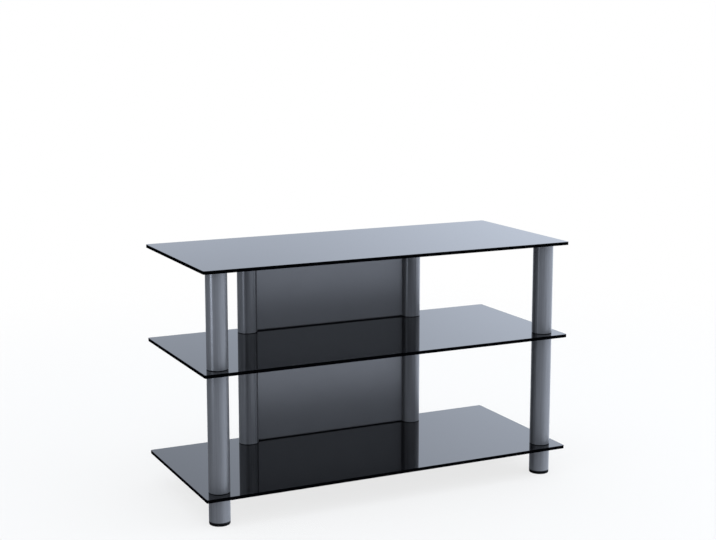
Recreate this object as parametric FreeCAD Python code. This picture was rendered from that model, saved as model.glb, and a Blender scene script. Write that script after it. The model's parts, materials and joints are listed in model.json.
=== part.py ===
"""Glass television stand: three glass shelves on four round posts, with a back panel in each tier.

Millimetres. X runs to the right, Y to the back and Z up. The origin is on the floor, under the
middle of the shelves. The shelves are clamped between lengths of tube by a threaded rod in each post.
"""
import FreeCAD, Part
import math
import os

from FreeCAD import Vector

# Glass shelves
shelf_width = 960.0
shelf_depth = 420.0
glass_thickness = 8.0
shelf_corner_radius = 5.0
glass_arris = 0.6

# Clear heights
upper_tier_height = 227.0
lower_tier_height = 281.0
under_shelf_height = 68.0

# Posts
post_diameter = 50.0
post_wall = 2.0
post_inset = 46.0
rear_post_spacing = 466.0

# Groove in the rear posts for the edges of the back panels
groove_depth = 8.0
groove_wall = 1.5
groove_clearance = 0.25
groove_end_clearance = 0.5

# Threaded rod in each post
rod_diameter = 8.0
rod_top_gap = 1.0
thread_clearance = 0.05
glass_hole_clearance = 1.0

# Centring rings between glass and tube ends
ring_flange = 1.2
ring_inset = 0.5
ring_spigot = 6.0
ring_bore_clearance = 0.15
spigot_clearance = 0.15
notch_clearance = 0.3
cut_overrun = 1.0

# Discs bonded under the top shelf
disc_flange = 3.0
disc_spigot = 9.0

# Foot inserts
insert_flange = 2.0
insert_length = 30.0
rod_engagement = 13.0

# Levelling feet
pad_thickness = 6.5
pad_inset = 0.3
pad_chamfer = 2.0
stud_engagement = 16.0
collar_diameter = 13.0
collar_recess = 1.5
rivet_diameter = 11.0
rivet_recess = 1.8
neck_diameter = 6.0
neck_clearance = 0.08
head_clearance = 0.3
end_play = 0.1
socket_width = 4.0
socket_depth = 5.0

# Folded back panels
sheet_thickness = 1.5
bend_radius = 1.5
panel_flange = 14.0
panel_post_gap = 0.3
foam_thickness = 1.0
foam_inset = 2.0

# Levels that follow from the driving dimensions
insert_bottom = pad_thickness
foot_tube_bottom = insert_bottom + insert_flange
bottom_shelf_base = under_shelf_height
bottom_shelf_top = bottom_shelf_base + glass_thickness
middle_shelf_base = bottom_shelf_top + lower_tier_height
middle_shelf_top = middle_shelf_base + glass_thickness
top_shelf_base = middle_shelf_top + upper_tier_height

# Post axes
post_radius = post_diameter / 2
bore_radius = post_radius - post_wall
rod_radius = rod_diameter / 2
front_post_x = shelf_width / 2 - post_inset
rear_post_x = rear_post_spacing / 2
post_y = shelf_depth / 2 - post_inset
post_axes = {
    "front_left": (-front_post_x, -post_y),
    "front_right": (front_post_x, -post_y),
    "rear_left": (-rear_post_x, post_y),
    "rear_right": (rear_post_x, post_y),
}

# Groove section, measured from the post's axis towards the panel
groove_half_width = sheet_thickness / 2 + groove_clearance
groove_floor = post_radius - groove_depth
channel_half_width = groove_half_width + groove_wall
channel_floor = groove_floor - groove_wall


def groove_side(post):
    """Return +1 or -1 for the side of a rear post that faces the panel, and 0 for a front post."""
    return {"rear_left": 1, "rear_right": -1}.get(post, 0)


def turned(section, post):
    """Turn a closed half-section of (radius, height) points about a post's axis."""
    x, y = post_axes[post]
    corners = [Vector(radius, 0, height) for radius, height in section]
    face = Part.Face(Part.makePolygon(corners + corners[:1]))
    solid = face.revolve(Vector(0, 0, 0), Vector(0, 0, 1), 360)
    solid.translate(Vector(x, y, 0))
    return solid


def slab(post, reach_from, reach_to, half_width, low, high):
    """Return a block that runs from a rear post's axis towards the panel."""
    x, y = post_axes[post]
    block = Part.makeBox(reach_to - reach_from, 2 * half_width, high - low,
                         Vector(reach_from, -half_width, low))
    if groove_side(post) < 0:
        block.rotate(Vector(0, 0, 0), Vector(0, 0, 1), 180)
    block.translate(Vector(x, y, 0))
    return block


def notched(solid, post, low, high):
    """Cut the clearance for a rear post's groove channel out of a piece that sits in its bore."""
    if not groove_side(post):
        return solid
    return solid.cut(slab(post, channel_floor - notch_clearance, post_radius + cut_overrun,
                          channel_half_width + notch_clearance, low, high))


def plain_tube(post, low, high):
    """Return a plain round tube."""
    section = [(bore_radius, low), (post_radius, low), (post_radius, high), (bore_radius, high)]
    return turned(section, post)


def post_tube(post, low, high):
    """Return a length of post: round tube, and on a rear post an extrusion with the panel groove."""
    tube = plain_tube(post, low, high)
    if not groove_side(post):
        return tube
    wall_middle = post_radius - post_wall / 2
    channel = slab(post, channel_floor, wall_middle, channel_half_width, low, high)
    groove = slab(post, groove_floor, post_radius + cut_overrun, groove_half_width, low, high)
    return tube.fuse(channel).cut(groove).removeSplitter()


def centring_ring(post, glass_face, direction, grooved):
    """Return a flanged ring: the flange lies on the glass and the spigot reaches into the tube."""
    rim = post_radius - ring_inset
    spigot = bore_radius - spigot_clearance
    bore = rod_radius + ring_bore_clearance
    flange_top = glass_face + direction * ring_flange
    end = flange_top + direction * ring_spigot
    ring = turned([(bore, glass_face), (rim, glass_face), (rim, flange_top), (spigot, flange_top),
                   (spigot, end), (bore, end)], post)
    if not grooved:
        return ring
    return notched(ring, post, min(flange_top, end), max(flange_top, end))


def bonded_disc(post):
    """Return the disc bonded under the top shelf, with its tube spigot and threaded bore."""
    bore = rod_radius + thread_clearance
    spigot = bore_radius - spigot_clearance
    shoulder = top_shelf_base - disc_flange
    end = shoulder - disc_spigot
    disc = turned([(bore, top_shelf_base), (post_radius, top_shelf_base), (post_radius, shoulder),
                   (spigot, shoulder), (spigot, end), (bore, end)], post)
    return notched(disc, post, end, shoulder)


def foot_insert(post):
    """Return the plug that closes a foot tube, threaded for the rod above and the stud below."""
    bore = rod_radius + thread_clearance
    spigot = bore_radius - spigot_clearance
    end = insert_bottom + insert_length
    return turned([(bore, insert_bottom), (post_radius, insert_bottom), (post_radius, foot_tube_bottom),
                   (spigot, foot_tube_bottom), (spigot, end), (bore, end)], post)


def threaded_rod(post):
    """Return the rod that runs from the foot insert up into the bonded disc."""
    low = insert_bottom + insert_length - rod_engagement
    high = top_shelf_base - rod_top_gap
    return turned([(0, low), (rod_radius, low), (rod_radius, high), (0, high)], post)


def levelling_pad(post):
    """Return the round foot pad, recessed for the stud's collar above and its riveted end below."""
    rim = post_radius - pad_inset
    collar = collar_diameter / 2 + head_clearance
    rivet = rivet_diameter / 2 + head_clearance
    neck = neck_diameter / 2 + neck_clearance
    collar_seat = pad_thickness - collar_recess
    return turned([(neck, rivet_recess), (rivet, rivet_recess), (rivet, 0), (rim - pad_chamfer, 0),
                   (rim, pad_chamfer), (rim, pad_thickness), (collar, pad_thickness),
                   (collar, collar_seat), (neck, collar_seat)], post)


def levelling_stud(post):
    """Return the stud: shank, collar above the pad's web, neck through it and a riveted end below."""
    shank = rod_radius
    collar = collar_diameter / 2
    rivet = rivet_diameter / 2
    neck = neck_diameter / 2
    collar_base = pad_thickness - collar_recess + end_play
    collar_top = pad_thickness - end_play
    rivet_top = rivet_recess - end_play
    rivet_base = end_play
    high = insert_bottom + stud_engagement
    stud = turned([(0, rivet_base), (rivet, rivet_base), (rivet, rivet_top), (neck, rivet_top),
                   (neck, collar_base), (collar, collar_base), (collar, collar_top), (shank, collar_top),
                   (shank, high), (0, high)], post)
    x, y = post_axes[post]
    corner_radius = socket_width / math.sqrt(3)
    hexagon = [Vector(x + corner_radius * math.cos(math.radians(60 * step)),
                      y + corner_radius * math.sin(math.radians(60 * step)), rivet_base)
               for step in range(6)]
    outline = Part.Face(Part.makePolygon(hexagon + hexagon[:1]))
    return stud.cut(outline.extrude(Vector(0, 0, socket_depth)))


def shelf_outline(z):
    """Return the shelf's outline with rounded corners as a face at height z."""
    half_width = shelf_width / 2
    half_depth = shelf_depth / 2
    inner_x = half_width - shelf_corner_radius
    inner_y = half_depth - shelf_corner_radius
    middle = shelf_corner_radius / math.sqrt(2)
    corners = [(1, -1), (1, 1), (-1, 1), (-1, -1)]
    edges = []
    starts = []
    ends = []
    for index, (sx, sy) in enumerate(corners):
        along_x = Vector(sx * inner_x, sy * half_depth, z)
        along_y = Vector(sx * half_width, sy * inner_y, z)
        start, end = (along_x, along_y) if index % 2 == 0 else (along_y, along_x)
        bend = Vector(sx * (inner_x + middle), sy * (inner_y + middle), z)
        edges.append(Part.Arc(start, bend, end).toShape())
        starts.append(start)
        ends.append(end)
    for index, end in enumerate(ends):
        edges.append(Part.makeLine(end, starts[(index + 1) % len(starts)]))
    return Part.Face(Part.Wire(Part.__sortEdges__(edges)))


def shelf(base, drilled):
    """Return a glass shelf with eased edges, drilled for the rods if they pass through it."""
    plate = shelf_outline(base).extrude(Vector(0, 0, glass_thickness))
    rim = [edge for edge in plate.Edges if edge.BoundBox.ZLength < glass_thickness / 2]
    plate = plate.makeChamfer(glass_arris, rim)
    if not drilled:
        return plate
    hole = rod_radius + glass_hole_clearance
    for x, y in post_axes.values():
        plate = plate.cut(Part.makeCylinder(hole, glass_thickness, Vector(x, y, base)))
    return plate


def fold_section(low, high):
    """Return the panel's folded section in the YZ plane: a flat web with a fold at top and bottom."""
    front = post_y - sheet_thickness / 2
    back = post_y + sheet_thickness / 2
    outer = bend_radius + sheet_thickness
    rear = front + panel_flange
    outer_turn = outer * (1 - math.sqrt(0.5))
    inner_turn = outer - bend_radius * math.sqrt(0.5)

    def point(y, z):
        return Vector(0, y, z)

    def fold(z, up):
        outside = [point(front, z + up * outer), point(front + outer_turn, z + up * outer_turn),
                   point(front + outer, z)]
        inside = [point(front + outer, z + up * sheet_thickness),
                  point(front + inner_turn, z + up * inner_turn), point(back, z + up * outer)]
        return outside, inside

    low_outside, low_inside = fold(low, 1)
    high_outside, high_inside = fold(high, -1)
    low_end = [point(rear, low), point(rear, low + sheet_thickness)]
    high_end = [point(rear, high), point(rear, high - sheet_thickness)]
    edges = [Part.Arc(*bend).toShape() for bend in (low_outside, low_inside, high_outside, high_inside)]
    runs = [(low_outside[2], low_end[0]), low_end, (low_end[1], low_inside[0]),
            (low_inside[2], high_inside[2]), (high_inside[0], high_end[1]), high_end,
            (high_end[0], high_outside[2]), (high_outside[0], low_outside[0])]
    edges += [Part.makeLine(start, end) for start, end in runs]
    return Part.Face(Part.Wire(Part.__sortEdges__(edges)))


def fold_half_length():
    """Return half the length of the folds, which stop short of the posts."""
    return rear_post_x - post_radius - panel_post_gap


def back_panel(shelf_top, shelf_above):
    """Return a folded sheet panel whose side edges reach into the rear posts' grooves."""
    low = shelf_top + foam_thickness
    high = shelf_above - foam_thickness
    half_fold = fold_half_length()
    half_sheet = rear_post_x - groove_floor - groove_end_clearance
    pan = fold_section(low, high).extrude(Vector(2 * half_fold, 0, 0))
    pan.translate(Vector(-half_fold, 0, 0))
    flat_low = low + bend_radius + sheet_thickness
    flat_high = high - bend_radius - sheet_thickness
    sheet = Part.makeBox(2 * half_sheet, sheet_thickness, flat_high - flat_low,
                         Vector(-half_sheet, post_y - sheet_thickness / 2, flat_low))
    return pan.fuse(sheet).removeSplitter()


def foam_strip(base):
    """Return the strip that lies between a panel's fold and the glass."""
    half_length = fold_half_length()
    start = post_y - sheet_thickness / 2 + bend_radius + sheet_thickness
    end = post_y - sheet_thickness / 2 + panel_flange - foam_inset
    return Part.makeBox(2 * half_length, end - start, foam_thickness, Vector(-half_length, start, base))


def build():
    """Return every piece of the stand as a solid or a group of solids, by name."""
    parts = {
        "top_shelf": shelf(top_shelf_base, False),
        "middle_shelf": shelf(middle_shelf_base, True),
        "bottom_shelf": shelf(bottom_shelf_base, True),
        "upper_back_panel": back_panel(middle_shelf_top, top_shelf_base),
        "lower_back_panel": back_panel(bottom_shelf_top, middle_shelf_base),
        "upper_panel_top_strip": foam_strip(top_shelf_base - foam_thickness),
        "upper_panel_bottom_strip": foam_strip(middle_shelf_top),
        "lower_panel_top_strip": foam_strip(middle_shelf_base - foam_thickness),
        "lower_panel_bottom_strip": foam_strip(bottom_shelf_top),
    }
    for post in post_axes:
        parts["upper_tube_" + post] = post_tube(post, middle_shelf_top + ring_flange,
                                                top_shelf_base - disc_flange)
        parts["lower_tube_" + post] = post_tube(post, bottom_shelf_top + ring_flange,
                                                middle_shelf_base - ring_flange)
        parts["foot_tube_" + post] = plain_tube(post, foot_tube_bottom, bottom_shelf_base - ring_flange)
        parts["levelling_pad_" + post] = levelling_pad(post)
        parts["levelling_stud_" + post] = levelling_stud(post)
    ring_rows = {
        "rings_over_middle_shelf": (middle_shelf_top, 1, True),
        "rings_under_middle_shelf": (middle_shelf_base, -1, True),
        "rings_over_bottom_shelf": (bottom_shelf_top, 1, True),
        "rings_under_bottom_shelf": (bottom_shelf_base, -1, False),
    }
    parts["bonded_discs"] = Part.makeCompound([bonded_disc(post) for post in post_axes])
    parts["threaded_rods"] = Part.makeCompound([threaded_rod(post) for post in post_axes])
    parts["foot_inserts"] = Part.makeCompound([foot_insert(post) for post in post_axes])
    for name, row in ring_rows.items():
        parts[name] = Part.makeCompound([centring_ring(post, *row) for post in post_axes])
    return parts


os.makedirs("parts", exist_ok=True)
for name, shape in build().items():
    shape.exportStep("parts/" + name + ".step")
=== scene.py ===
import json
import math
from typing import NamedTuple

import bmesh
import bpy
from bpy.props import FloatProperty, FloatVectorProperty, IntProperty, PointerProperty
from bpy.types import NodeSocket, Operator, Panel, PropertyGroup
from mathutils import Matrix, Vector

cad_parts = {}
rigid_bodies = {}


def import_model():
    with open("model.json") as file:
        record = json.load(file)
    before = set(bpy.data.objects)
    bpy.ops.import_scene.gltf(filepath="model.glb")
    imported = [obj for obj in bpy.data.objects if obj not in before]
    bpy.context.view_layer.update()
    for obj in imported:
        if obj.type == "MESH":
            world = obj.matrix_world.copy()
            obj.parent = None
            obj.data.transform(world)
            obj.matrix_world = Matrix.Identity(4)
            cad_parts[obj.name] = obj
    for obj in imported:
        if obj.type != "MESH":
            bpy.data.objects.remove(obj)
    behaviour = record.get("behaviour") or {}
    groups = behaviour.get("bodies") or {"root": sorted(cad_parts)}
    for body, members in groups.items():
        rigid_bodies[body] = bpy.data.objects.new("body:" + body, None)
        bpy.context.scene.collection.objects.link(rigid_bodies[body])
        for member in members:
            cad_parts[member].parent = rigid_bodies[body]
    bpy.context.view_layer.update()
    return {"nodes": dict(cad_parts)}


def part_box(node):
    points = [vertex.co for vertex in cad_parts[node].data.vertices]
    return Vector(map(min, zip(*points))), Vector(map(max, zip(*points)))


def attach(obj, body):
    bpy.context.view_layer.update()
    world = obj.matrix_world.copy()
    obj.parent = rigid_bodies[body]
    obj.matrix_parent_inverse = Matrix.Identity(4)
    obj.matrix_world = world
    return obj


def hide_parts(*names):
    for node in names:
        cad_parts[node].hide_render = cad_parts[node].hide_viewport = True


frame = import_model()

bl_info = {
    "name": "Glass television stand",
    "version": (1, 0, 0),
    "blender": (4, 5, 0),
    "location": "3D View > Sidebar > Glass stand",
    "description": "Builds the shelves, post tubes, back panels and levelling feet of a glass stand",
    "category": "Object",
}

SIDEBAR_TAB = "Glass stand"

SHELVES = ("top", "middle", "bottom")
DRILLED_SHELVES = ("middle", "bottom")
POSTS = ("front_left", "front_right", "rear_left", "rear_right")
TUBES = ("upper", "lower", "foot")
GROOVED_TUBES = ("upper", "lower")
GROOVE_SIDE = {"rear_left": 1, "rear_right": -1}
TIERS = ("upper", "lower")
POST_FINISH = "satin_post_metal"

MM = 0.001
ORIGIN = (0.0, 0.0)
QUARTER_TURN = math.radians(90)
SHARP_ANGLE = math.radians(34)


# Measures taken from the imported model

def post_axis(post):
    """Return where a post's axis stands on the floor."""
    low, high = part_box("foot_tube_" + post)
    return (low.x + high.x) / 2, (low.y + high.y) / 2


def post_radius():
    """Return the outer radius of the post tubes."""
    low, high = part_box("foot_tube_" + POSTS[0])
    return (high.x - low.x) / 2


# Sizes, finishes and stage settings that a user may change

class StandSizes(PropertyGroup):
    """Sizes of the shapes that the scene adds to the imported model."""

    corner_radius: FloatProperty(
        name="Shelf corner radius", description="Radius of the shelves' corners seen from above",
        default=5 * MM, min=0.0, unit="LENGTH", subtype="DISTANCE")
    glass_arris: FloatProperty(
        name="Glass arris", description="Width of the eased edge of the glass",
        default=0.4 * MM, min=0.0, unit="LENGTH", subtype="DISTANCE")
    glass_hole_radius: FloatProperty(
        name="Glass hole radius", description="Radius of the holes for the threaded rods",
        default=5 * MM, min=0.0, unit="LENGTH", subtype="DISTANCE")
    tube_wall: FloatProperty(
        name="Tube wall", description="Wall thickness of the post tubes",
        default=2 * MM, min=0.0, unit="LENGTH", subtype="DISTANCE")
    tube_edge: FloatProperty(
        name="Tube edge", description="Rounding of the tubes' cut ends",
        default=0.35 * MM, min=0.0, unit="LENGTH", subtype="DISTANCE")
    groove_depth: FloatProperty(
        name="Groove depth", description="Depth of the rear posts' groove for the panels",
        default=8 * MM, min=0.0, unit="LENGTH", subtype="DISTANCE")
    groove_half_width: FloatProperty(
        name="Groove half width", description="Half the width of the rear posts' groove",
        default=1 * MM, min=0.0, unit="LENGTH", subtype="DISTANCE")
    groove_wall: FloatProperty(
        name="Groove wall", description="Wall thickness round the rear posts' groove",
        default=1.5 * MM, min=0.0, unit="LENGTH", subtype="DISTANCE")
    sheet_thickness: FloatProperty(
        name="Sheet thickness", description="Thickness of the back panels' sheet",
        default=1.5 * MM, min=0.0, unit="LENGTH", subtype="DISTANCE")
    bend_radius: FloatProperty(
        name="Bend radius", description="Inner radius of the back panels' folds",
        default=1.5 * MM, min=0.0, unit="LENGTH", subtype="DISTANCE")
    sheet_edge: FloatProperty(
        name="Sheet edge", description="Deburred rounding of the sheet's cut edges",
        default=0.25 * MM, min=0.0, unit="LENGTH", subtype="DISTANCE")
    fold_gap: FloatProperty(
        name="Fold gap", description="Gap between the ends of the folds and the rear posts",
        default=0.3 * MM, min=0.0, unit="LENGTH", subtype="DISTANCE")
    pad_rounding: FloatProperty(
        name="Pad rounding", description="Rounding of the foot pads' lower rim",
        default=2 * MM, min=0.0, unit="LENGTH", subtype="DISTANCE")
    thread_pitch: FloatProperty(
        name="Thread pitch", description="Pitch of the levelling studs' thread",
        default=1.25 * MM, min=0.1 * MM, unit="LENGTH", subtype="DISTANCE")
    thread_depth: FloatProperty(
        name="Thread depth", description="Depth of the levelling studs' thread",
        default=0.75 * MM, min=0.0, unit="LENGTH", subtype="DISTANCE")
    round_steps: IntProperty(
        name="Round steps", description="Flat sides round a whole post", default=128, min=24)
    thread_steps: IntProperty(
        name="Thread steps", description="Flat sides round a levelling stud", default=48, min=24)


class StandFinishes(PropertyGroup):
    """Colours and gloss of the stand's finishes."""

    glass: FloatVectorProperty(
        name="Black glass", description="Body colour of the black glass",
        default=(0.0012, 0.0012, 0.0017, 1.0), size=4, min=0.0, max=1.0, subtype="COLOR")
    glass_edge: FloatVectorProperty(
        name="Glass edge", description="Colour of the polished edge of the glass",
        default=(0.0010, 0.0011, 0.0013, 1.0), size=4, min=0.0, max=1.0, subtype="COLOR")
    post: FloatVectorProperty(
        name="Post grey", description="Colour of the satin post tubes",
        default=(0.168, 0.168, 0.171, 1.0), size=4, min=0.0, max=1.0, subtype="COLOR")
    panel: FloatVectorProperty(
        name="Panel silver", description="Colour of the silver back panels",
        default=(0.158, 0.158, 0.161, 1.0), size=4, min=0.0, max=1.0, subtype="COLOR")
    disc: FloatVectorProperty(
        name="Disc aluminium", description="Colour of the turned discs under the top shelf",
        default=(0.168, 0.168, 0.171, 1.0), size=4, min=0.0, max=1.0, subtype="COLOR")
    zinc: FloatVectorProperty(
        name="Zinc plate", description="Colour of the plated rods and studs",
        default=(0.50, 0.53, 0.56, 1.0), size=4, min=0.0, max=1.0, subtype="COLOR")
    plastic: FloatVectorProperty(
        name="Black plastic", description="Colour of the rings and foot inserts",
        default=(0.006, 0.006, 0.0065, 1.0), size=4, min=0.0, max=1.0, subtype="COLOR")
    pad: FloatVectorProperty(
        name="Pad black", description="Colour of the foot pads",
        default=(0.002, 0.002, 0.0022, 1.0), size=4, min=0.0, max=1.0, subtype="COLOR")
    foam: FloatVectorProperty(
        name="Black foam", description="Colour of the foam strips",
        default=(0.017, 0.017, 0.018, 1.0), size=4, min=0.0, max=1.0, subtype="COLOR")
    post_roughness: FloatProperty(
        name="Post roughness", description="Roughness of the satin post tubes",
        default=0.365, min=0.0, max=1.0, subtype="FACTOR")
    panel_roughness: FloatProperty(
        name="Panel roughness", description="Roughness of the silver back panels",
        default=0.34, min=0.0, max=1.0, subtype="FACTOR")


class StandStage(PropertyGroup):
    """Floor, light and camera."""

    floor_colour: FloatVectorProperty(
        name="Floor colour", description="Colour of the pale floor",
        default=(0.92, 0.88, 0.80, 1.0), size=4, min=0.0, max=1.0, subtype="COLOR")
    floor_radius: FloatProperty(
        name="Floor radius", description="Radius at which the floor has faded into the backdrop",
        default=2.9, min=1.0, unit="LENGTH", subtype="DISTANCE")
    floor_veil: FloatProperty(
        name="Floor veil", description="Share of the white backdrop that shows through the floor",
        default=0.76, min=0.0, max=1.0, subtype="FACTOR")
    backdrop: FloatVectorProperty(
        name="Backdrop", description="Colour of the backdrop seen by the camera",
        default=(1.0, 1.0, 1.0, 1.0), size=4, min=0.0, max=1.0, subtype="COLOR")
    daylight: FloatVectorProperty(
        name="Daylight", description="Cool white of the studio light",
        default=(0.775, 0.855, 1.0, 1.0), size=4, min=0.0, max=1.0, subtype="COLOR")
    backdrop_gloss: FloatProperty(
        name="Backdrop in gloss", description="Strength of the backdrop seen in metal and glass",
        default=1.09, min=0.0)
    room_light: FloatProperty(
        name="Room light", description="Strength of the soft light from all round",
        default=1.09, min=0.0)
    camera_place: FloatVectorProperty(
        name="Camera place", description="Where the camera stands",
        default=(-1.49675, -3.09357, 1.14652), size=3, subtype="TRANSLATION", unit="LENGTH")
    camera_heading: FloatProperty(
        name="Camera heading", description="Turn of the camera from straight ahead to the right",
        default=math.radians(25.794), subtype="ANGLE", unit="ROTATION")
    camera_tilt: FloatProperty(
        name="Camera tilt", description="How far the camera looks down",
        default=math.radians(8.971), subtype="ANGLE", unit="ROTATION")
    camera_lens: FloatProperty(
        name="Camera lens", description="Focal length in millimetres on a 36 mm sensor",
        default=70.780, min=1.0)
    camera_rise: FloatProperty(
        name="Camera shift", description="Upward shift of the lens", default=-0.04)


# Mesh tools

def whole_turn(steps):
    """Return the angles of a number of steps round a circle."""
    return [math.tau * step / steps for step in range(steps)]


def quarter_turn(steps):
    """Return the angles of a number of steps through a quarter of a circle, with both ends."""
    return [QUARTER_TURN * step / steps for step in range(steps + 1)]


def around(centre, radius, turn):
    """Return the point at a radius and an angle about a centre."""
    return centre[0] + radius * math.cos(turn), centre[1] + radius * math.sin(turn)


def rounded_ends(edge, low, high, steps):
    """Return (inset, height) pairs up a straight side that is rounded at both ends."""
    lower = [(edge * (1 - math.sin(turn)), low + edge * (1 - math.cos(turn)))
             for turn in quarter_turn(steps)]
    upper = [(inset, low + high - height) for inset, height in reversed(lower)]
    return lower + upper


def eased(corners, steps):
    """Return a closed section with each corner (x, y, radius) rounded in a number of steps."""
    points = []
    for index, (x, y, radius) in enumerate(corners):
        corner = Vector((x, y))
        if radius <= 0:
            points.append(corner)
            continue
        before = (Vector(corners[index - 1][:2]) - corner).normalized()
        after = (Vector(corners[(index + 1) % len(corners)][:2]) - corner).normalized()
        half_angle = before.angle(after) / 2
        reach = radius / math.tan(half_angle)
        centre = corner + (before + after).normalized() * (radius / math.sin(half_angle))
        start = corner + before * reach - centre
        end = corner + after * reach - centre
        sweep = math.pi - 2 * half_angle
        for step in range(steps + 1):
            share = step / steps
            start_weight = math.sin((1 - share) * sweep) / math.sin(sweep)
            end_weight = math.sin(share * sweep) / math.sin(sweep)
            points.append(centre + (start * start_weight + end * end_weight))
    return points


def loop_at(bm, points, height):
    """Add a closed loop of vertices at one height."""
    return [bm.verts.new((x, y, height)) for x, y in points]


def ring(bm, axis, radius, height, steps):
    """Add a ring of vertices about a vertical axis."""
    return loop_at(bm, [around(axis, radius, turn) for turn in whole_turn(steps)], height)


def skin(bm, first, second, material=0):
    """Join two closed loops of equal length with a band of faces."""
    count = len(first)
    for index in range(count):
        after = (index + 1) % count
        face = bm.faces.new((first[index], first[after], second[after], second[index]))
        face.material_index = material


def skin_all(bm, loops, closed=False, material=0):
    """Join loops in order, and the last to the first if closed."""
    for first, second in zip(loops, loops[1:]):
        skin(bm, first, second, material)
    if closed:
        skin(bm, loops[-1], loops[0], material)


def loop_edges(bm, loop):
    """Return the edges of a closed loop, which already carries a band of faces."""
    return [bm.edges.get((vert, loop[(index + 1) % len(loop)])) for index, vert in enumerate(loop)]


def fill_between(bm, loops, upward):
    """Fill the flat face that an outer loop and the loops inside it enclose."""
    edges = [edge for loop in loops for edge in loop_edges(bm, loop)]
    normal = (0, 0, 1 if upward else -1)
    bmesh.ops.triangle_fill(bm, use_beauty=True, use_dissolve=False, edges=edges, normal=normal)


def turned(bm, section, axis, steps):
    """Turn a closed section of (radius, height) points about a vertical axis."""
    skin_all(bm, [ring(bm, axis, radius, height, steps) for radius, height in section], closed=True)


def mesh_object(name, bm, materials):
    """Put a mesh into the scene as an object with its materials."""
    mesh = bpy.data.meshes.new(name)
    bm.to_mesh(mesh)
    bm.free()
    for material in materials:
        mesh.materials.append(material)
    made = bpy.data.objects.new(name, mesh)
    bpy.context.scene.collection.objects.link(made)
    return made


def piece(name, bm, body, replaced, materials):
    """Make an object of a mesh, give it its finish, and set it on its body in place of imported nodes."""
    bmesh.ops.recalc_face_normals(bm, faces=bm.faces)
    made = mesh_object(name, bm, materials)
    made.data.polygons.foreach_set("use_smooth", [True] * len(made.data.polygons))
    made.data.set_sharp_from_angle(angle=SHARP_ANGLE)
    weighted = made.modifiers.new("Even shading", "WEIGHTED_NORMAL")
    weighted.keep_sharp = True
    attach(made, body)
    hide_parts(*replaced)
    return made


# Material tools

class NodeTree:
    """The emptied node tree of a material or a world, and a short way to add nodes to it."""

    def __init__(self, owner):
        owner.use_nodes = True
        self.nodes = owner.node_tree.nodes
        self.links = owner.node_tree.links
        self.nodes.clear()

    def add(self, kind, inputs=None, **settings):
        """Add a node with its settings and its inputs, which are named or numbered."""
        node = self.nodes.new(kind)
        for setting, value in settings.items():
            setattr(node, setting, value)
        for socket, value in (inputs or {}).items():
            self.feed(node.inputs[socket], value)
        return node

    def feed(self, socket, value):
        """Join an input to another node's output, or set it to a value."""
        if isinstance(value, NodeSocket):
            self.links.new(value, socket)
        else:
            socket.default_value = value

    def number(self, operation, *values):
        """Return the number that an operation on numbers gives."""
        return self.add("ShaderNodeMath", dict(enumerate(values)), operation=operation).outputs["Value"]

    def vector(self, operation, *values):
        """Return the outputs of an operation on vectors, which gives a vector or a number."""
        return self.add("ShaderNodeVectorMath", dict(enumerate(values)), operation=operation).outputs

    def ranged(self, value, start, end, low, high, course="LINEAR"):
        """Return a number that goes from low to high as another goes from start to end."""
        mapped = self.add("ShaderNodeMapRange", {
            "Value": value, "From Min": start, "From Max": end, "To Min": low, "To Max": high,
        }, interpolation_type=course)
        return mapped.outputs["Result"]


class Finish(NodeTree):
    """A material with one Principled shader, and short ways to make patterns for it."""

    # Most of a noise lies between these values
    PATTERN_LOW = 0.3
    PATTERN_HIGH = 0.7

    def __init__(self, name):
        self.material = bpy.data.materials.get(name) or bpy.data.materials.new(name)
        super().__init__(self.material)
        self.shader = self.add("ShaderNodeBsdfPrincipled")
        self.add("ShaderNodeOutputMaterial", {"Surface": self.shader.outputs["BSDF"]})
        self.place = self.add("ShaderNodeTexCoord").outputs["Object"]

    def surface(self, **sockets):
        """Set the shader's sockets or join patterns to them, and return the finished material."""
        for name, value in sockets.items():
            self.feed(self.shader.inputs[name.replace("_", " ")], value)
        return self.material

    def stretched(self, scale):
        """Return the piece's own coordinates, scaled per axis."""
        return self.add("ShaderNodeMapping", {"Vector": self.place, "Scale": scale}).outputs["Vector"]

    def noise(self, scale, detail=3.0, roughness=0.5, stretch=None):
        """Return a noise pattern; scale is in repeats per metre."""
        texture = self.add("ShaderNodeTexNoise", {
            "Vector": self.stretched(stretch) if stretch else self.place,
            "Scale": scale,
            "Detail": detail,
            "Roughness": roughness,
        })
        return texture.outputs["Fac"]

    def cells(self, scale):
        """Return the distance to the middle of scattered cells; scale is in repeats per metre."""
        return self.add("ShaderNodeTexVoronoi", {"Vector": self.place, "Scale": scale}).outputs["Distance"]

    def spread(self, pattern, low, high, start=PATTERN_LOW, end=PATTERN_HIGH):
        """Map a range of a pattern onto a range of values."""
        return self.ranged(pattern, start, end, low, high)

    def swing(self, pattern, middle, by):
        """Let a pattern swing a value about its middle."""
        return self.spread(pattern, middle - by, middle + by)

    def shades(self, pattern, colour, variation):
        """Return a colour that a pattern makes darker and lighter by a share."""
        ramp = self.add("ShaderNodeValToRGB", {"Fac": pattern})
        darker, lighter = ramp.color_ramp.elements
        for stop, position, gain in ((darker, self.PATTERN_LOW, 1 - variation),
                                     (lighter, self.PATTERN_HIGH, 1 + variation)):
            stop.position = position
            stop.color = [min(1.0, channel * gain) for channel in colour[:3]] + [1.0]
        return ramp.outputs["Color"]

    def sum_of(self, first, second, weight=1.0):
        """Return the first pattern plus a share of the second."""
        return self.number("MULTIPLY_ADD", second, weight, first)

    def relief(self, pattern, depth, strength):
        """Return the shading of a pattern that is raised as fine relief."""
        bump = self.add("ShaderNodeBump", {"Height": pattern, "Distance": depth, "Strength": strength})
        return bump.outputs["Normal"]


# Finishes

SATIN_TINT = (0.75, 0.75, 0.75, 1.0)


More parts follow.
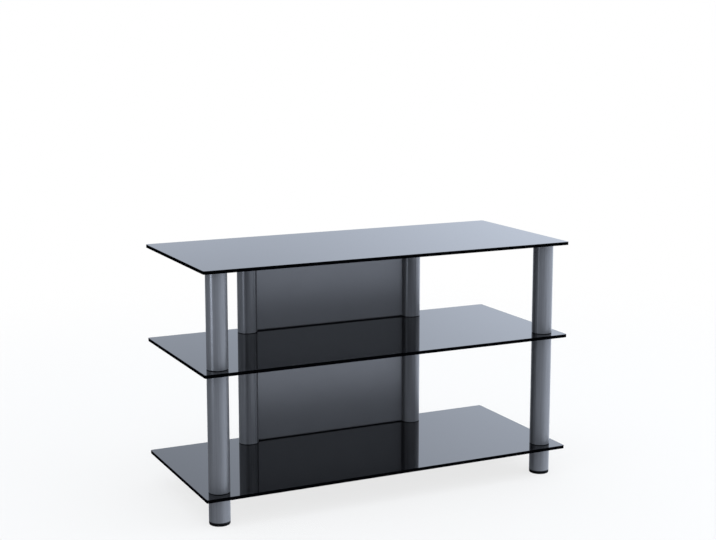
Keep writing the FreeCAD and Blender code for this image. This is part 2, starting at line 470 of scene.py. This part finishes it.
def black_glass(colours):
    """Opaque black glass with faint wipe marks, specks of dust and the slight wave of tempered sheet."""
    finish = Finish("black_glass_face")
    marks = finish.noise(scale=7.0, detail=5.0, roughness=0.6, stretch=(1.0, 2.2, 1.0))
    wiped = finish.spread(marks, low=0.012, high=0.035)
    dust = finish.spread(finish.cells(scale=260.0), low=0.04, high=0.0, start=0.02, end=0.10)
    wave = finish.noise(scale=3.0, detail=1.0)
    return finish.surface(
        Base_Color=finish.shades(marks, colours.glass, variation=0.25),
        Roughness=finish.sum_of(wiped, dust),
        Normal=finish.relief(wave, depth=0.25 * MM, strength=0.5),
        IOR=1.52)


def glass_edge(colours):
    """Ground and polished edge of the black glass, with faint lines along the edge."""
    finish = Finish("black_glass_edge")
    lines = finish.noise(scale=60.0, detail=4.0, stretch=(1.0, 1.0, 40.0))
    return finish.surface(
        Base_Color=finish.shades(lines, colours.glass_edge, variation=0.3),
        Roughness=finish.spread(lines, low=0.22, high=0.38),
        Normal=finish.relief(lines, depth=0.02 * MM, strength=0.3),
        IOR=1.5, Specular_IOR_Level=0.0)


def satin_post(colours):
    """Satin grey metal of the drawn post tubes, whose fine lines spread the gloss up and down the tube."""
    finish = Finish(POST_FINISH)
    lines = finish.noise(scale=700.0, detail=4.0, roughness=0.6, stretch=(1.0, 1.0, 0.012))
    grain = finish.noise(scale=2600.0, detail=2.0)
    pattern = finish.sum_of(finish.spread(lines, low=0.0, high=0.65), grain, weight=0.5)
    return finish.surface(
        Base_Color=finish.shades(pattern, colours.post, variation=0.10),
        Roughness=finish.swing(grain, colours.post_roughness, by=0.04),
        Normal=finish.relief(pattern, depth=0.03 * MM, strength=0.12),
        Metallic=0.65, Specular_Tint=SATIN_TINT, Anisotropic=0.9, Anisotropic_Rotation=0.25)


def silver_sheet(colours):
    """Satin silver lacquer on the folded sheet panels, with a fine sprayed grain."""
    finish = Finish("silver_panel_sheet")
    clouds = finish.noise(scale=14.0, detail=4.0)
    grain = finish.noise(scale=1500.0, detail=3.0, roughness=0.6)
    pattern = finish.sum_of(finish.spread(clouds, low=0.2, high=0.4), grain, weight=0.6)
    return finish.surface(
        Base_Color=finish.shades(pattern, colours.panel, variation=0.05),
        Roughness=finish.swing(grain, colours.panel_roughness, by=0.05),
        Normal=finish.relief(grain, depth=0.04 * MM, strength=0.15),
        Metallic=0.6, Specular_Tint=SATIN_TINT)


def turned_aluminium(colours):
    """Bare turned aluminium of the discs under the top shelf."""
    finish = Finish("turned_disc_aluminium")
    marks = finish.noise(scale=900.0, detail=4.0, stretch=(1.0, 1.0, 6.0))
    return finish.surface(
        Base_Color=finish.shades(marks, colours.disc, variation=0.10),
        Roughness=finish.spread(marks, low=0.24, high=0.40),
        Normal=finish.relief(marks, depth=0.03 * MM, strength=0.2),
        Metallic=0.65)


def zinc_plate(colours):
    """Bright zinc plate with the faint patches of a barrel finish."""
    finish = Finish("zinc_plated_steel_thread")
    patches = finish.noise(scale=320.0, detail=5.0, roughness=0.65)
    return finish.surface(
        Base_Color=finish.shades(patches, colours.zinc, variation=0.14),
        Roughness=finish.spread(patches, low=0.22, high=0.42),
        Normal=finish.relief(patches, depth=0.03 * MM, strength=0.2),
        Metallic=1.0)


def black_plastic(colours):
    """Moulded black plastic with a fine spark-eroded grain."""
    finish = Finish("moulded_black_plastic")
    grain = finish.noise(scale=1900.0, detail=3.0, roughness=0.55)
    wear = finish.noise(scale=90.0, detail=4.0)
    return finish.surface(
        Base_Color=finish.shades(wear, colours.plastic, variation=0.20),
        Roughness=finish.spread(grain, low=0.38, high=0.56),
        Normal=finish.relief(grain, depth=0.06 * MM, strength=0.35),
        IOR=1.49, Specular_IOR_Level=0.15)


def black_pad(colours):
    """Dull, deep black moulding of the foot pads, scuffed a little where they are handled."""
    finish = Finish("moulded_black_pad")
    grain = finish.noise(scale=1500.0, detail=3.0, roughness=0.55)
    scuffs = finish.noise(scale=120.0, detail=5.0, roughness=0.65, stretch=(1.0, 1.0, 3.0))
    return finish.surface(
        Base_Color=finish.shades(scuffs, colours.pad, variation=0.30),
        Roughness=finish.spread(grain, low=0.50, high=0.68),
        Normal=finish.relief(grain, depth=0.06 * MM, strength=0.30),
        IOR=1.49, Specular_IOR_Level=0.04)


def black_foam(colours):
    """Closed-cell black foam tape."""
    finish = Finish("black_foam_tape")
    cells = finish.cells(scale=1400.0)
    return finish.surface(
        Base_Color=finish.shades(cells, colours.foam, variation=0.35),
        Roughness=finish.spread(cells, low=0.86, high=0.98),
        Normal=finish.relief(cells, depth=0.3 * MM, strength=0.6),
        Specular_IOR_Level=0.2)


def dress(nodes, material):
    """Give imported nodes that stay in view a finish."""
    for node in nodes:
        for holder in frame["nodes"][node].material_slots:
            holder.material = material


# Pieces

class STAND_OT_glass_shelves(Operator):
    """Make the three glass shelves with eased edges and rod holes"""

    bl_idname = "glass_stand.shelves"
    bl_label = "Glass shelves"

    CORNERS = ((1, 1), (-1, 1), (-1, -1), (1, -1))
    CORNER_STEPS = 12
    ARRIS_STEPS = 4
    HOLE_STEPS = 48
    EDGE_FINISH = 1

    def outline(self, half_x, half_y, radius, inset):
        """Return the shelf's rounded outline, set in by a distance."""
        points = []
        for quarter, (side_x, side_y) in enumerate(self.CORNERS):
            centre = (side_x * (half_x - radius), side_y * (half_y - radius))
            for step in range(self.CORNER_STEPS + 1):
                turn = QUARTER_TURN * (quarter + step / self.CORNER_STEPS)
                points.append(around(centre, radius - inset, turn))
        return points

    def execute(self, context):
        sizes = context.scene.stand_sizes
        colours = context.scene.stand_finishes
        finishes = [black_glass(colours), glass_edge(colours)]
        for shelf in SHELVES:
            node = shelf + "_shelf"
            low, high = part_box(node)
            bm = bmesh.new()
            loops = [loop_at(bm, self.outline(high.x, high.y, sizes.corner_radius, inset), height)
                     for inset, height in rounded_ends(sizes.glass_arris, low.z, high.z, self.ARRIS_STEPS)]
            skin_all(bm, loops, material=self.EDGE_FINISH)
            bottoms, tops = [loops[0]], [loops[-1]]
            if shelf in DRILLED_SHELVES:
                for post in POSTS:
                    axis = post_axis(post)
                    bottom, top = (ring(bm, axis, sizes.glass_hole_radius, level, self.HOLE_STEPS)
                                   for level in (low.z, high.z))
                    skin(bm, bottom, top, material=self.EDGE_FINISH)
                    bottoms.append(bottom)
                    tops.append(top)
            fill_between(bm, bottoms, upward=False)
            fill_between(bm, tops, upward=True)
            piece("glass_" + node, bm, "frame", [node], finishes)
        return {"FINISHED"}


class STAND_OT_post_tubes(Operator):
    """Make the twelve lengths of post tube, the rear ones with the panel groove"""

    bl_idname = "glass_stand.post_tubes"
    bl_label = "Post tubes"

    EDGE_STEPS = 3

    def plain(self, bm, axis, radius, low, high, sizes):
        """Turn a plain tube with eased ends."""
        bore = radius - sizes.tube_wall
        edge = sizes.tube_edge
        corners = [(bore, low, edge), (radius, low, edge), (radius, high, edge), (bore, high, edge)]
        turned(bm, eased(corners, self.EDGE_STEPS), axis, sizes.round_steps)

    def notched_circle(self, radius, half, floor, steps):
        """Return a circle with a square notch from its +X side in to a floor."""
        start = math.asin(half / radius)
        sweep = math.tau - 2 * start
        points = [around(ORIGIN, radius, start + sweep * step / steps) for step in range(steps + 1)]
        return points + [(floor, -half), (floor, half)]

    def outer_contour(self, radius, sizes, inset):
        """Return the outside of a grooved tube, with the groove towards +X."""
        half = sizes.groove_half_width + inset
        floor = radius - sizes.groove_depth - inset
        return self.notched_circle(radius - inset, half, floor, sizes.round_steps)

    def inner_contour(self, radius, sizes, inset):
        """Return the bore of a grooved tube, with the groove's channel standing into it."""
        half = sizes.groove_half_width + sizes.groove_wall - inset
        floor = radius - sizes.groove_depth - sizes.groove_wall + inset
        return self.notched_circle(radius - sizes.tube_wall + inset, half, floor, sizes.round_steps)

    def grooved(self, bm, axis, side, radius, low, high, sizes):
        """Extrude the grooved section, with eased ends."""
        levels = rounded_ends(sizes.tube_edge, low, high, self.EDGE_STEPS)
        walls = []
        for contour in (self.outer_contour, self.inner_contour):
            loops = []
            for inset, height in levels:
                section = contour(radius, sizes, inset)
                points = [(axis[0] + side * x, axis[1] + side * y) for x, y in section]
                loops.append(loop_at(bm, points, height))
            skin_all(bm, loops)
            walls.append(loops)
        fill_between(bm, [loops[0] for loops in walls], upward=False)
        fill_between(bm, [loops[-1] for loops in walls], upward=True)

    def execute(self, context):
        sizes = context.scene.stand_sizes
        finish = satin_post(context.scene.stand_finishes)
        radius = post_radius()
        for post in POSTS:
            axis = post_axis(post)
            for tube in TUBES:
                node = tube + "_tube_" + post
                low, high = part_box(node)
                bm = bmesh.new()
                if post in GROOVE_SIDE and tube in GROOVED_TUBES:
                    self.grooved(bm, axis, GROOVE_SIDE[post], radius, low.z, high.z, sizes)
                else:
                    self.plain(bm, axis, radius, low.z, high.z, sizes)
                piece("post_" + node, bm, "frame", [node], [finish])
        return {"FINISHED"}


class STAND_OT_back_panels(Operator):
    """Make the two folded back panels"""

    bl_idname = "glass_stand.back_panels"
    bl_label = "Back panels"

    BEND_STEPS = 6
    EDGE_STEPS = 2
    CUT_EDGE_ANGLE = math.radians(50)

    def fold_section(self, front, rear, level, up, sizes):
        """Return a fold's section in (y, z), from the front of the web round to its back."""
        outer = sizes.bend_radius + sizes.sheet_thickness
        centre_y = front + outer
        centre_z = level + up * outer

        def bend(radius, turns):
            """Return the points of the bend's outer or inner side."""
            return [(centre_y - radius * math.cos(turn), centre_z - up * radius * math.sin(turn))
                    for turn in turns]

        turns = quarter_turn(self.BEND_STEPS)
        ends = [(rear, level), (rear, level + up * sizes.sheet_thickness)]
        return bend(outer, turns) + ends + bend(sizes.bend_radius, reversed(turns))

    def fold(self, bm, section, half_length):
        """Extrude a fold, open towards the web, and return the loops at its left and right end."""
        left, right = ([bm.verts.new((side * half_length, y, z)) for y, z in section] for side in (-1, 1))
        for index in range(len(section) - 1):
            bm.faces.new((left[index], left[index + 1], right[index + 1], right[index]))
        bm.faces.new(left)
        bm.faces.new(right)
        return left, right

    def web(self, bm, low_fold, high_fold, half_sheet):
        """Join the folds with the flat web, whose sides stand out beyond them into the posts' grooves."""
        left, right = ([low[0], low[-1], high[-1], high[0]] for low, high in zip(low_fold, high_fold))
        low_front, low_back, high_back, high_front = zip(left, right)
        bm.faces.new((*low_front, *reversed(high_front)))
        bm.faces.new((*low_back, *reversed(high_back)))
        for side, corners in ((-1, left), (1, right)):
            tips = [bm.verts.new((side * half_sheet, vert.co.y, vert.co.z)) for vert in corners]
            skin(bm, corners, tips)
            bm.faces.new(tips)

    def deburr(self, panel, width):
        """Round the sheet's cut edges, ahead of the even shading."""
        rounding = panel.modifiers.new("Deburred edges", "BEVEL")
        rounding.width = width
        rounding.segments = self.EDGE_STEPS
        rounding.limit_method = "ANGLE"
        rounding.angle_limit = self.CUT_EDGE_ANGLE
        panel.modifiers.move(len(panel.modifiers) - 1, 0)

    def execute(self, context):
        sizes = context.scene.stand_sizes
        finish = silver_sheet(context.scene.stand_finishes)
        half_fold = post_axis("rear_right")[0] - post_radius() - sizes.fold_gap
        for tier in TIERS:
            node = tier + "_back_panel"
            low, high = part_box(node)
            bm = bmesh.new()
            low_fold, high_fold = (
                self.fold(bm, self.fold_section(low.y, high.y, level, up, sizes), half_fold)
                for level, up in ((low.z, 1), (high.z, -1)))
            self.web(bm, low_fold, high_fold, high.x)
            made = piece("folded_" + node, bm, "frame", [node], [finish])
            self.deburr(made, sizes.sheet_edge)
        return {"FINISHED"}


class STAND_OT_foot_pads(Operator):
    """Make the four round foot pads"""

    bl_idname = "glass_stand.foot_pads"
    bl_label = "Foot pads"

    RIM_STEPS = 6
    EDGE = 0.3 * MM
    NECK_BORE = 3.08 * MM
    RIVET_BORE = 5.8 * MM
    RIVET_SEAT = 1.8 * MM
    COLLAR_BORE = 6.8 * MM
    COLLAR_SEAT = 5.0 * MM

    def corners(self, rim, low, high, rounding):
        """Return the section's corners (radius, height, rounding), from the rivet's seat round the rim."""
        return [
            (self.NECK_BORE, self.RIVET_SEAT, 0),
            (self.RIVET_BORE, self.RIVET_SEAT, 0),
            (self.RIVET_BORE, low, self.EDGE),
            (rim, low, rounding),
            (rim, high, self.EDGE),
            (self.COLLAR_BORE, high, self.EDGE),
            (self.COLLAR_BORE, self.COLLAR_SEAT, 0),
            (self.NECK_BORE, self.COLLAR_SEAT, 0),
        ]

    def execute(self, context):
        sizes = context.scene.stand_sizes
        finish = black_pad(context.scene.stand_finishes)
        for post in POSTS:
            node = "levelling_pad_" + post
            low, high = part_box(node)
            corners = self.corners((high.x - low.x) / 2, low.z, high.z, sizes.pad_rounding)
            bm = bmesh.new()
            turned(bm, eased(corners, self.RIM_STEPS), post_axis(post), sizes.round_steps)
            piece("foot_" + node, bm, "pad_" + post, [node], [finish])
        return {"FINISHED"}


class STAND_OT_levelling_studs(Operator):
    """Make the four levelling studs with their threads and hexagon sockets"""

    bl_idname = "glass_stand.levelling_studs"
    bl_label = "Levelling studs"

    SOCKET_WIDTH = 4 * MM
    SOCKET_DEPTH = 5 * MM
    SOCKET_SIDE = math.radians(60)
    RIVET = 5.5 * MM
    RIVET_LOW = 0.1 * MM
    RIVET_HIGH = 1.7 * MM
    # Inset and rise of the rivet's rolled rim
    RIVET_RIM = ((0.8 * MM, 0.0), (0.2 * MM, 0.16 * MM), (0.0, 0.48 * MM))
    NECK = 3 * MM
    COLLAR = 6.5 * MM
    COLLAR_LOW = 5.1 * MM
    COLLAR_HIGH = 6.4 * MM
    COLLAR_EDGE = 0.3 * MM
    SHANK = 4 * MM
    RUN_OUT = 1.2 * MM
    TIP = 1.0 * MM
    # Share of a flank that is flat at the crest, and again at the root
    THREAD_FLAT = 0.1
    STEPS_PER_PITCH = 10

    def hexagon(self, bm, axis, height, steps):
        """Add a loop round the socket's hexagon, with as many vertices as the rings have."""
        points = []
        for turn in whole_turn(steps):
            off_flat = turn % self.SOCKET_SIDE - self.SOCKET_SIDE / 2
            points.append(around(axis, self.SOCKET_WIDTH / 2 / math.cos(off_flat), turn))
        return loop_at(bm, points, height)

    def head(self):
        """Return the (radius, height) points of the rivet, the neck and the collar, from below."""
        rim = [(self.RIVET - inset, self.RIVET_LOW + rise) for inset, rise in self.RIVET_RIM]
        return rim + [
            (self.RIVET, self.RIVET_HIGH),
            (self.NECK, self.RIVET_HIGH),
            (self.NECK, self.COLLAR_LOW),
            (self.COLLAR, self.COLLAR_LOW),
            (self.COLLAR, self.COLLAR_HIGH - self.COLLAR_EDGE),
            (self.COLLAR - self.COLLAR_EDGE, self.COLLAR_HIGH),
        ]

    def thread(self, bm, axis, low, high, sizes):
        """Return the loops of a threaded shank, whose radius follows a right-handed helix."""
        count = max(2, round((high - low) / sizes.thread_pitch * self.STEPS_PER_PITCH))
        loops = []
        for index in range(count + 1):
            height = low + (high - low) * index / count
            depth = sizes.thread_depth * min(1.0, (height - low) / self.RUN_OUT)
            tip = sizes.thread_depth * max(0.0, 1 - (high - height) / self.TIP)
            points = []
            for turn in whole_turn(sizes.thread_steps):
                phase = (height / sizes.thread_pitch - turn / math.tau) % 1.0
                groove = 1 - abs(2 * phase - 1)
                flank = (groove - self.THREAD_FLAT) / (1 - 2 * self.THREAD_FLAT)
                cut = depth * min(1.0, max(0.0, flank))
                points.append(around(axis, self.SHANK - max(cut, tip), turn))
            loops.append(loop_at(bm, points, height))
        return loops

    def execute(self, context):
        sizes = context.scene.stand_sizes
        finish = zinc_plate(context.scene.stand_finishes)
        steps = sizes.thread_steps
        for post in POSTS:
            node = "levelling_stud_" + post
            axis = post_axis(post)
            _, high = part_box(node)
            bm = bmesh.new()
            loops = [self.hexagon(bm, axis, height, steps)
                     for height in (self.RIVET_LOW + self.SOCKET_DEPTH, self.RIVET_LOW)]
            loops += [ring(bm, axis, radius, height, steps) for radius, height in self.head()]
            loops += self.thread(bm, axis, self.COLLAR_HIGH, high.z, sizes)
            skin_all(bm, loops)
            bm.faces.new(loops[0])
            bm.faces.new(loops[-1])
            piece("threaded_" + node, bm, "stud_" + post, [node], [finish])
        return {"FINISHED"}


class STAND_OT_plastic_fittings(Operator):
    """Finish the centring rings and the foot inserts"""

    bl_idname = "glass_stand.plastic_fittings"
    bl_label = "Rings and inserts"

    def execute(self, context):
        rings = ["rings_" + side + "_" + shelf + "_shelf"
                 for shelf in DRILLED_SHELVES for side in ("over", "under")]
        dress(rings + ["foot_inserts"], black_plastic(context.scene.stand_finishes))
        return {"FINISHED"}


class STAND_OT_metal_fittings(Operator):
    """Finish the discs under the top shelf and the threaded rods"""

    bl_idname = "glass_stand.metal_fittings"
    bl_label = "Discs and rods"

    def execute(self, context):
        colours = context.scene.stand_finishes
        dress(["bonded_discs"], turned_aluminium(colours))
        dress(["threaded_rods"], zinc_plate(colours))
        return {"FINISHED"}


class STAND_OT_foam_strips(Operator):
    """Finish the foam strips above and below the back panels"""

    bl_idname = "glass_stand.foam_strips"
    bl_label = "Foam strips"

    def execute(self, context):
        strips = [tier + "_panel_" + end + "_strip" for tier in TIERS for end in ("top", "bottom")]
        dress(strips, black_foam(context.scene.stand_finishes))
        return {"FINISHED"}


# Stage

class Lamp(NamedTuple):
    """A soft lamp, whose beam is in degrees and which may be a highlight for the posts alone."""

    name: str
    place: tuple
    aim: tuple
    width: float
    height: float
    brightness: float
    beam: float = 180.0
    posts_only: bool = False


class Wall(NamedTuple):
    """A brighter or darker stretch of the room that metal and glass reflect.

    Its heading, from straight ahead to the right, its elevation and the half widths where it is full
    and where it is gone are in degrees. A greater flatness makes it lower for its width.
    """

    heading: float
    elevation: float
    flatness: float
    full: float
    gone: float
    gain: float


class STAND_OT_stage(Operator):
    """Lay the pale floor, light it and set the camera"""

    bl_idname = "glass_stand.stage"
    bl_label = "Floor, light and camera"

    FLOOR_LEVEL = -0.2 * MM
    FLOOR_STEPS = 96
    FADE_START = 0.85
    SENSOR_WIDTH = 36.0
    VIEW_DEPTH = 50.0
    # The colour sockets of a mix node, whose names are not unique
    MIX_FIRST = 6
    MIX_SECOND = 7
    MIX_RESULT = 2
    MIDDLE = (0.0, 0.0, 0.3)
    LAMPS = (
        Lamp("right_softbox", (2.75, -1.4, 1.5), MIDDLE, width=2.2, height=2.2, brightness=1.6),
        Lamp("left_strip", (-1.34, -0.43, 0.46), (-0.434, -0.164, 0.75), width=0.32, height=0.4,
             brightness=1.05, beam=60.0, posts_only=True),
        Lamp("top_softbox", (0.1, -0.5, 3.1), MIDDLE, width=1.9, height=1.4, brightness=1.3),
    )
    WALLS = (
        Wall(heading=105.0, elevation=-14.0, flatness=4.0, full=20.0, gone=62.0, gain=1.4),
        Wall(heading=-50.0, elevation=-12.0, flatness=3.0, full=25.0, gone=60.0, gain=-0.9),
        Wall(heading=-155.0, elevation=-12.0, flatness=3.0, full=20.0, gone=55.0, gain=-0.62),
        Wall(heading=60.0, elevation=30.0, flatness=1.0, full=20.0, gone=42.0, gain=0.76),
    )

    def mix_for_rays(self, tree, rays, seen, otherwise):
        """Return a colour that given kinds of ray see, and another that the rest see."""
        share, *others = rays
        for ray in others:
            share = tree.number("MAXIMUM", share, ray)
        inputs = {"Factor": share, self.MIX_FIRST: otherwise, self.MIX_SECOND: seen}
        return tree.add("ShaderNodeMix", inputs, data_type="RGBA").outputs[self.MIX_RESULT]

    def towards(self, wall):
        """Return the direction of a wall's middle, with heights multiplied by its flatness."""
        turn, rise = math.radians(wall.heading), math.radians(wall.elevation)
        return Vector((math.sin(turn), math.cos(turn), wall.flatness * math.tan(rise))).normalized()

    def wall_strengths(self, tree, base):
        """Return the reflected room's strength by direction: even, apart from the walls."""
        direction = tree.add("ShaderNodeTexCoord").outputs["Generated"]
        strength = base
        for wall in self.WALLS:
            raised = tree.vector("MULTIPLY", direction, (1.0, 1.0, wall.flatness))["Vector"]
            unit = tree.vector("NORMALIZE", raised)["Vector"]
            facing = tree.vector("DOT_PRODUCT", unit, self.towards(wall))["Value"]
            gone, full = (math.cos(math.radians(angle)) for angle in (wall.gone, wall.full))
            change = tree.ranged(facing, gone, full, low=0.0, high=wall.gain * base, course="SMOOTHSTEP")
            strength = tree.number("ADD", strength, change)
        return strength

    def light_room(self, stage):
        """Light the room evenly: white to the camera, cool white in reflections, softer elsewhere."""
        world = bpy.data.worlds.new("pale_room")
        bpy.context.scene.world = world
        tree = NodeTree(world)
        rays = tree.add("ShaderNodeLightPath").outputs
        tint = {0: stage.daylight[:3], "Scale": self.wall_strengths(tree, stage.backdrop_gloss)}
        gloss = tree.add("ShaderNodeVectorMath", tint, operation="SCALE").outputs["Vector"]
        soft = [channel * stage.room_light for channel in stage.daylight[:3]] + [1.0]
        mirror_rays = (rays["Is Glossy Ray"], rays["Is Transmission Ray"])
        mirrored = self.mix_for_rays(tree, mirror_rays, gloss, soft)
        seen = self.mix_for_rays(tree, (rays["Is Camera Ray"],), stage.backdrop, mirrored)
        background = tree.add("ShaderNodeBackground", {"Color": seen}).outputs["Background"]
        tree.add("ShaderNodeOutputWorld", {"Surface": background})

    def pale_matt(self, stage):
        """Return the floor's material, which lets the white through, fades out and is clear from below."""
        material = bpy.data.materials.new("pale_floor")
        tree = NodeTree(material)
        matt = tree.add("ShaderNodeBsdfDiffuse", {"Color": stage.floor_colour}).outputs["BSDF"]
        clear = tree.add("ShaderNodeBsdfTransparent").outputs["BSDF"]
        place = tree.add("ShaderNodeTexCoord").outputs["Object"]
        reach = tree.vector("LENGTH", place)["Value"]
        fade = tree.ranged(reach, self.FADE_START, stage.floor_radius, low=stage.floor_veil, high=1.0,
                           course="SMOOTHSTEP")
        below = tree.add("ShaderNodeNewGeometry").outputs["Backfacing"]
        veil = tree.number("MAXIMUM", fade, below)
        mix = tree.add("ShaderNodeMixShader", {"Fac": veil, 1: matt, 2: clear}).outputs["Shader"]
        tree.add("ShaderNodeOutputMaterial", {"Surface": mix})
        return material

    def lay_floor(self, stage):
        """Lay a round pale floor that takes a soft shadow."""
        bm = bmesh.new()
        bm.faces.new(ring(bm, ORIGIN, stage.floor_radius, self.FLOOR_LEVEL, self.FLOOR_STEPS))
        floor = mesh_object("pale_floor", bm, [self.pale_matt(stage)])

    def light_posts_only(self, holder):
        """Let a lamp fall on the post tubes alone, so that glass and floor do not show it."""
        lit = bpy.data.collections.new("lit_by_" + holder.name)
        for thing in bpy.context.scene.objects:
            if thing.type == "MESH" and POST_FINISH in thing.data.materials:
                lit.objects.link(thing)
        holder.light_linking.receiver_collection = lit

    def hang_lamps(self, stage):
        """Hang the soft lamps, each turned to what it lights."""
        for lamp in self.LAMPS:
            light = bpy.data.lights.new(lamp.name, "AREA")
            light.shape = "RECTANGLE"
            light.size = lamp.width
            light.size_y = lamp.height
            light.energy = lamp.brightness * math.pi * lamp.width * lamp.height
            light.spread = math.radians(lamp.beam)
            light.color = stage.daylight[:3]
            holder = bpy.data.objects.new(lamp.name, light)
            beam = Vector(lamp.aim) - Vector(lamp.place)
            holder.location = lamp.place
            holder.rotation_euler = beam.to_track_quat("-Z", "Y").to_euler()
            holder.visible_camera = False
            holder.visible_glossy = lamp.posts_only
            bpy.context.scene.collection.objects.link(holder)
            if lamp.posts_only:
                self.light_posts_only(holder)

    def set_camera(self, stage):
        """Set the camera at the photograph's viewing angle."""
        lens = bpy.data.cameras.new("viewpoint")
        lens.sensor_fit = "HORIZONTAL"
        lens.sensor_width = self.SENSOR_WIDTH
        lens.lens = stage.camera_lens
        lens.shift_y = stage.camera_rise
        lens.clip_end = self.VIEW_DEPTH
        camera = bpy.data.objects.new("viewpoint", lens)
        camera.location = stage.camera_place
        camera.rotation_euler = (QUARTER_TURN - stage.camera_tilt, 0.0, -stage.camera_heading)
        bpy.context.scene.collection.objects.link(camera)
        bpy.context.scene.camera = camera

    def execute(self, context):
        stage = context.scene.stand_stage
        self.light_room(stage)
        self.lay_floor(stage)
        self.hang_lamps(stage)
        self.set_camera(stage)
        context.scene.view_settings.view_transform = "Standard"
        return {"FINISHED"}


# Sidebar and registration

OPERATORS = (
    STAND_OT_glass_shelves, STAND_OT_post_tubes, STAND_OT_back_panels, STAND_OT_foot_pads,
    STAND_OT_levelling_studs, STAND_OT_plastic_fittings, STAND_OT_metal_fittings, STAND_OT_foam_strips,
    STAND_OT_stage,
)


class STAND_PT_sidebar(Panel):
    """List the stand's pieces and settings in the sidebar"""

    bl_idname = "STAND_PT_sidebar"
    bl_label = "Glass television stand"
    bl_space_type = "VIEW_3D"
    bl_region_type = "UI"
    bl_category = SIDEBAR_TAB

    def draw(self, context):
        for operator in OPERATORS:
            self.layout.operator(operator.bl_idname)
        for group in (context.scene.stand_sizes, context.scene.stand_finishes, context.scene.stand_stage):
            box = self.layout.box()
            for setting in group.bl_rna.properties:
                if setting.identifier not in {"rna_type", "name"}:
                    box.prop(group, setting.identifier)


CLASSES = (StandSizes, StandFinishes, StandStage) + OPERATORS + (STAND_PT_sidebar,)
SETTINGS = {"stand_sizes": StandSizes, "stand_finishes": StandFinishes, "stand_stage": StandStage}


def register():
    """Register the classes and give every scene the stand's settings."""
    for item in CLASSES:
        bpy.utils.register_class(item)
    for name, group in SETTINGS.items():
        setattr(bpy.types.Scene, name, PointerProperty(type=group))


def unregister():
    """Take the settings and classes away again."""
    for name in SETTINGS:
        delattr(bpy.types.Scene, name)
    for item in reversed(CLASSES):
        bpy.utils.unregister_class(item)


def main():
    """Register the classes, then build every piece in order, the stage last."""
    register()
    bpy.ops.glass_stand.shelves()
    bpy.ops.glass_stand.post_tubes()
    bpy.ops.glass_stand.back_panels()
    bpy.ops.glass_stand.foot_pads()
    bpy.ops.glass_stand.levelling_studs()
    bpy.ops.glass_stand.plastic_fittings()
    bpy.ops.glass_stand.metal_fittings()
    bpy.ops.glass_stand.foam_strips()
    bpy.ops.glass_stand.stage()


if __name__ == "__main__":
    main()
